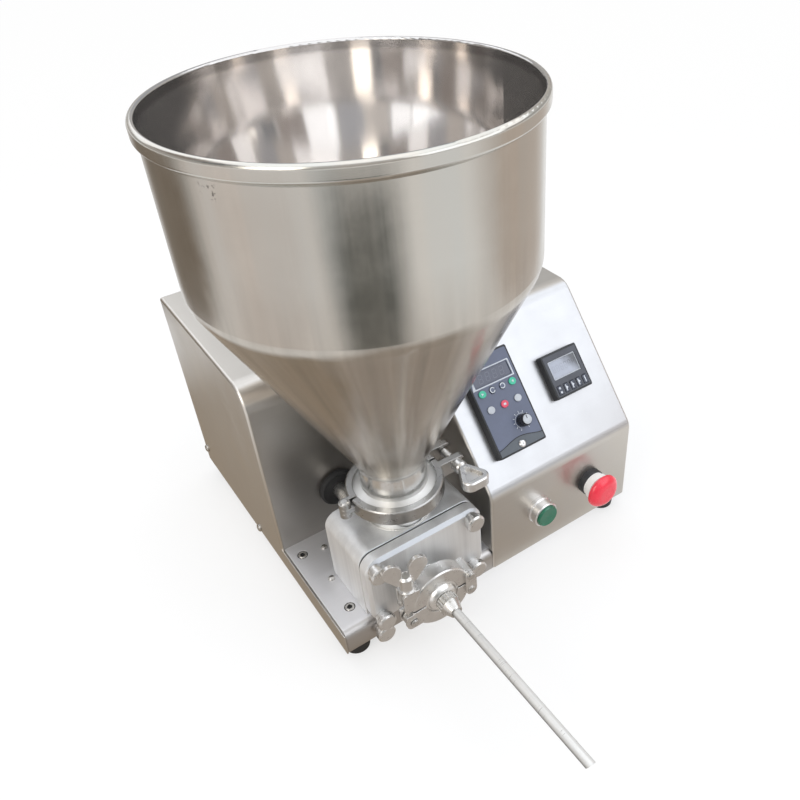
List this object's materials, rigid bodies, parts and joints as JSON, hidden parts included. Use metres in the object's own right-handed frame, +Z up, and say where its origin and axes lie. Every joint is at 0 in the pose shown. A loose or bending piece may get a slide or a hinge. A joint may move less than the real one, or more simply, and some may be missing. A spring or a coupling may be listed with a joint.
{
  "type": "cream filling machine",
  "caption": "Benchtop cream filler: an open conical hopper clamped on a gear pump with a long straight nozzle, beside a steel drive housing with a sloped control panel.",
  "frame": {"origin": "on the table, under the middle of the machine's overall box", "axes": "+X to the operator's right, +Y to the back, +Z up; the nozzle points to -Y"},
  "size_m": [0.4116, 0.622, 0.5185],
  "materials": {
    "housing_steel": "brushed sheet",
    "hopper_steel": "spun and polished sheet",
    "pump_steel": "machined, satin",
    "polished_steel": "polished stainless",
    "cast_steel": "cast stainless, tumbled",
    "screw_steel": "plain",
    "rubber_black": "matt",
    "seal_white": "matt",
    "motor_paint": "satin",
    "bush_metal": "turned",
    "gland_black": "matt",
    "case_black": "fine grain",
    "key_green": "satin",
    "key_white": "satin",
    "key_red": "satin",
    "key_grey": "satin",
    "knob_black": "matt",
    "button_green": "gloss",
    "button_red": "gloss"
  },
  "bodies": {
    "machine": {"base_tray": "housing_steel", "rubber_feet": "rubber_black", "hood": "housing_steel", "rear_panel": "housing_steel", "casing_screws": "screw_steel", "base_screws": "screw_steel", "cable_gland": "gland_black", "gear_motor": "motor_paint", "shaft_seal": "rubber_black", "pump_bushes": "bush_metal", "pump_body": "pump_steel", "cover_gasket": "rubber_black", "pump_cover": "pump_steel", "cover_studs": "screw_steel", "inlet_ferrule": "polished_steel", "ferrule_gaskets": "seal_white", "hopper": "hopper_steel", "clamp_pins": "screw_steel", "inlet_clamp_bolt": "screw_steel", "outlet_ferrule": "polished_steel", "outlet_cap": "polished_steel", "nozzle": "polished_steel", "outlet_clamp_links": "cast_steel", "outlet_clamp_bolt": "screw_steel", "controller_case": "case_black", "counter_case": "case_black", "start_collar": "polished_steel", "estop_base": "case_black", "inlet_clamp_front": "cast_steel", "inlet_clamp_rear": "cast_steel", "outlet_clamp_upper": "cast_steel", "outlet_clamp_lower": "cast_steel"},
    "drive_rotor": {"shaft_coupling": "pump_steel", "drive_shaft": "polished_steel", "drive_gear": "pump_steel"},
    "idler_rotor": {"idler_gear": "pump_steel"},
    "cover_nut_top_left": {"cover_nut_top_left": "cast_steel"},
    "cover_nut_top_right": {"cover_nut_top_right": "cast_steel"},
    "cover_nut_bottom_left": {"cover_nut_bottom_left": "cast_steel"},
    "cover_nut_bottom_right": {"cover_nut_bottom_right": "cast_steel"},
    "controller_key_1": {"controller_key_1": "key_green"},
    "controller_key_2": {"controller_key_2": "key_white"},
    "controller_key_3": {"controller_key_3": "key_white"},
    "controller_key_4": {"controller_key_4": "key_green"},
    "controller_key_5": {"controller_key_5": "key_white"},
    "controller_key_6": {"controller_key_6": "key_red"},
    "controller_key_7": {"controller_key_7": "key_white"},
    "counter_key_1": {"counter_key_1": "key_grey"},
    "counter_key_2": {"counter_key_2": "key_grey"},
    "counter_key_3": {"counter_key_3": "key_grey"},
    "counter_key_4": {"counter_key_4": "key_grey"},
    "counter_key_5": {"counter_key_5": "key_grey"},
    "lock_screw": {"lock_screw": "cast_steel"},
    "inlet_wing_nut": {"inlet_wing_nut": "cast_steel"},
    "outlet_wing_nut": {"outlet_wing_nut": "cast_steel"},
    "nozzle_collar": {"nozzle_collar": "polished_steel"},
    "start_cap": {"start_cap": "button_green"},
    "estop_stem": {"estop_stem": "case_black"},
    "estop_head": {"estop_head": "button_red"},
    "speed_knob": {"speed_knob": "knob_black"}
  },
  "joints": [
    {"name": "drive_spin", "type": "hinge", "parent": "machine", "child": "drive_rotor", "pos_m": [-0.0868, -0.06, 0.095], "axis": [0, 1, 0], "continuous": true},
    {"name": "idler_spin", "type": "hinge", "parent": "machine", "child": "idler_rotor", "pos_m": [-0.0448, -0.06, 0.095], "axis": [0, 1, 0], "continuous": true},
    {"name": "cover_nut_top_left_turn", "type": "hinge", "parent": "machine", "child": "cover_nut_top_left", "pos_m": [-0.1213, -0.0756, 0.1175], "axis": [0, -1, 0], "continuous": true},
    {"name": "cover_nut_top_right_turn", "type": "hinge", "parent": "machine", "child": "cover_nut_top_right", "pos_m": [-0.0153, -0.0756, 0.1175], "axis": [0, -1, 0], "continuous": true},
    {"name": "cover_nut_bottom_left_turn", "type": "hinge", "parent": "machine", "child": "cover_nut_bottom_left", "pos_m": [-0.1213, -0.0756, 0.0525], "axis": [0, -1, 0], "continuous": true},
    {"name": "cover_nut_bottom_right_turn", "type": "hinge", "parent": "machine", "child": "cover_nut_bottom_right", "pos_m": [-0.0153, -0.0756, 0.0525], "axis": [0, -1, 0], "continuous": true},
    {"name": "lock_screw_turn", "type": "hinge", "parent": "machine", "child": "lock_screw", "pos_m": [-0.1208, -0.07, 0.027], "axis": [0, -1, 0], "continuous": true},
    {"name": "inlet_wing_nut_turn", "type": "hinge", "parent": "machine", "child": "inlet_wing_nut", "pos_m": [-0.0033, -0.04, 0.155], "axis": [0, -1, 0], "continuous": true},
    {"name": "outlet_wing_nut_turn", "type": "hinge", "parent": "machine", "child": "outlet_wing_nut", "pos_m": [-0.1018, -0.096, 0.0965], "axis": [0, 0, 1], "range_deg": [-3, 58]},
    {"name": "nozzle_collar_turn", "type": "hinge", "parent": "machine", "child": "nozzle_collar", "pos_m": [-0.0698, -0.1092, 0.0695], "axis": [0, -1, 0], "continuous": true},
    {"name": "start_press", "type": "slide", "parent": "machine", "child": "start_cap", "axis": [0, 1, 0], "range_m": [0, 0.003], "stiffness_N_per_m": 600, "springref_m": -0.003},
    {"name": "estop_press", "type": "slide", "parent": "machine", "child": "estop_stem", "axis": [0, 1, 0], "range_m": [0, 0.004]},
    {"name": "estop_twist", "type": "hinge", "parent": "estop_stem", "child": "estop_head", "pos_m": [0.1452, -0.07, 0.071], "axis": [0, 1, 0], "range_deg": [0, 45], "stiffness_Nm_per_rad": 0.08, "springref_deg": -17.19},
    {"name": "speed_knob_turn", "type": "hinge", "parent": "machine", "child": "speed_knob", "pos_m": [0.0762, -0.04046, 0.16944], "axis": [0, -0.7564, 0.6542], "range_deg": [-150, 150]},
    {"name": "controller_key_1_press", "type": "slide", "parent": "machine", "child": "controller_key_1", "axis": [0, 0.7564, -0.6542], "range_m": [0, 0.0006], "stiffness_N_per_m": 500, "springref_m": -0.001},
    {"name": "controller_key_2_press", "type": "slide", "parent": "machine", "child": "controller_key_2", "axis": [0, 0.7564, -0.6542], "range_m": [0, 0.0006], "stiffness_N_per_m": 500, "springref_m": -0.001},
    {"name": "controller_key_3_press", "type": "slide", "parent": "machine", "child": "controller_key_3", "axis": [0, 0.7564, -0.6542], "range_m": [0, 0.0006], "stiffness_N_per_m": 500, "springref_m": -0.001},
    {"name": "controller_key_4_press", "type": "slide", "parent": "machine", "child": "controller_key_4", "axis": [0, 0.7564, -0.6542], "range_m": [0, 0.0006], "stiffness_N_per_m": 500, "springref_m": -0.001},
    {"name": "controller_key_5_press", "type": "slide", "parent": "machine", "child": "controller_key_5", "axis": [0, 0.7564, -0.6542], "range_m": [0, 0.0006], "stiffness_N_per_m": 500, "springref_m": -0.001},
    {"name": "controller_key_6_press", "type": "slide", "parent": "machine", "child": "controller_key_6", "axis": [0, 0.7564, -0.6542], "range_m": [0, 0.0006], "stiffness_N_per_m": 500, "springref_m": -0.001},
    {"name": "controller_key_7_press", "type": "slide", "parent": "machine", "child": "controller_key_7", "axis": [0, 0.7564, -0.6542], "range_m": [0, 0.0006], "stiffness_N_per_m": 500, "springref_m": -0.001},
    {"name": "counter_key_1_press", "type": "slide", "parent": "machine", "child": "counter_key_1", "axis": [0, 0.7564, -0.6542], "range_m": [0, 0.0006], "stiffness_N_per_m": 500, "springref_m": -0.001},
    {"name": "counter_key_2_press", "type": "slide", "parent": "machine", "child": "counter_key_2", "axis": [0, 0.7564, -0.6542], "range_m": [0, 0.0006], "stiffness_N_per_m": 500, "springref_m": -0.001},
    {"name": "counter_key_3_press", "type": "slide", "parent": "machine", "child": "counter_key_3", "axis": [0, 0.7564, -0.6542], "range_m": [0, 0.0006], "stiffness_N_per_m": 500, "springref_m": -0.001},
    {"name": "counter_key_4_press", "type": "slide", "parent": "machine", "child": "counter_key_4", "axis": [0, 0.7564, -0.6542], "range_m": [0, 0.0006], "stiffness_N_per_m": 500, "springref_m": -0.001},
    {"name": "counter_key_5_press", "type": "slide", "parent": "machine", "child": "counter_key_5", "axis": [0, 0.7564, -0.6542], "range_m": [0, 0.0006], "stiffness_N_per_m": 500, "springref_m": -0.001}
  ],
  "couplings": [
    {"joint": "idler_spin", "follows": "drive_spin", "ratio": -1}
  ]
}
